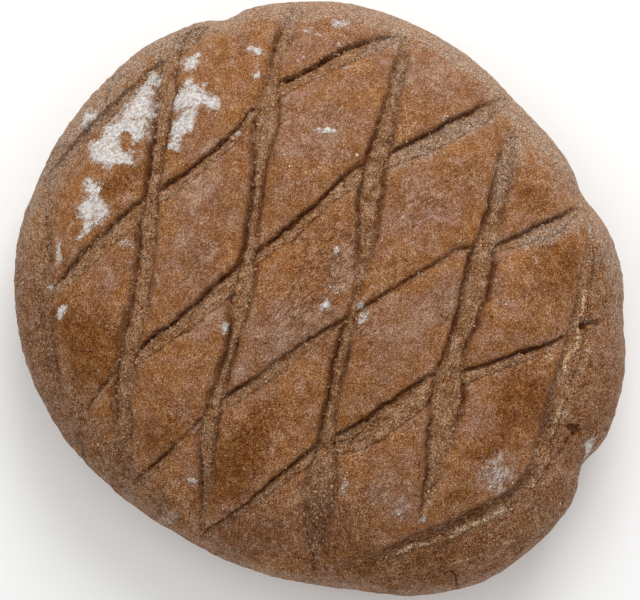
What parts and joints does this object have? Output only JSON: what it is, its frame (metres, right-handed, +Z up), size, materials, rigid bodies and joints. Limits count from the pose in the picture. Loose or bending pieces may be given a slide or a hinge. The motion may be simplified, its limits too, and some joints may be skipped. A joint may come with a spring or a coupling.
{
  "type": "round rye bread loaf",
  "caption": "Round hearth-baked rye bread loaf with a flat base, a low dome and a diamond grid of deep slashes, dusted with flour",
  "frame": {"origin": "the middle of the loaf's footprint, on the flat base it rests on", "axes": "+Z up through the crown; +Y towards the upper edge and +X towards the right edge of the loaf as seen from above, the long slashes running roughly along Y"},
  "size_m": [0.2426, 0.2396, 0.0745],
  "materials": {
    "crust": "matt toasted rye crust, rougher and paler in the slashes, with flour dusted over it"
  },
  "bodies": {
    "root": {"loaf": "crust"}
  },
  "joints": []
}
